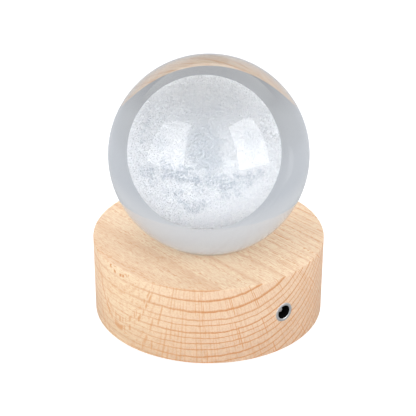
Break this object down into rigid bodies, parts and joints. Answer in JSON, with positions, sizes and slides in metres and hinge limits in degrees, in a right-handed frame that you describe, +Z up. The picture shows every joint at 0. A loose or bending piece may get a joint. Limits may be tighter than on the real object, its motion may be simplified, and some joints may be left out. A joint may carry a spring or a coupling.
{
  "type": "crystal ball lamp",
  "caption": "Small lamp: a solid glass ball with a moon engraved inside, standing in the dished top of a round beech base that holds LEDs and a power jack.",
  "frame": {"origin": "on the table, under the middle of the base, at the bottom of the feet", "axes": "+Z up through the middle of the base and ball; the front looks along -Y; the power jack is 38.6 degrees round from the front towards +X"},
  "size_m": [0.0942, 0.0942, 0.1092],
  "materials": {
    "crystal": "clear, ground and polished",
    "engraved_glass": "white, engraved inside the glass by a laser",
    "beech": "pale beech, finely sanded, matt",
    "opal_acrylic": "frosted white",
    "circuit_board": "white solder mask",
    "led_package": "white body, yellow phosphor",
    "resistor_chip": "black, tinned ends",
    "screw_steel": "zinc plated",
    "cover_plastic": "black, fine texture",
    "foot_rubber": "matt",
    "nickel_plate": "bright nickel plate",
    "jack_insulator": "black, moulded",
    "contact_brass": "bright",
    "wire_red": "red insulation",
    "wire_black": "black insulation"
  },
  "bodies": {
    "base": {"wood_base": "beech", "light_window": "opal_acrylic", "led_board": "circuit_board", "led_1": "led_package", "led_2": "led_package", "led_3": "led_package", "led_4": "led_package", "led_5": "led_package", "led_6": "led_package", "resistor_1": "resistor_chip", "resistor_2": "resistor_chip", "board_screw_1": "screw_steel", "board_screw_2": "screw_steel", "board_screw_3": "screw_steel", "bottom_cover": "cover_plastic", "cover_screw_1": "screw_steel", "cover_screw_2": "screw_steel", "cover_screw_3": "screw_steel", "foot_1": "foot_rubber", "foot_2": "foot_rubber", "foot_3": "foot_rubber", "foot_4": "foot_rubber", "jack_bushing": "nickel_plate", "jack_housing": "jack_insulator", "jack_pin": "nickel_plate", "sleeve_tag": "contact_brass", "wire_red": "wire_red", "wire_black": "wire_black"},
    "ball": {"crystal_ball": "crystal", "engraved_moon": "engraved_glass"},
    "leaf": {"sleeve_leaf": "contact_brass"}
  },
  "joints": [
    {"name": "ball_lift", "type": "slide", "parent": "base", "child": "ball", "axis": [0, 0, 1], "range_m": [0, 0.06]},
    {"name": "contact_flex", "type": "hinge", "parent": "base", "child": "leaf", "pos_m": [0.01918, -0.02403, 0.02208], "axis": [-0.7815, -0.6239, 0], "range_deg": [0, 6.5], "stiffness_Nm_per_rad": 0.05}
  ]
}
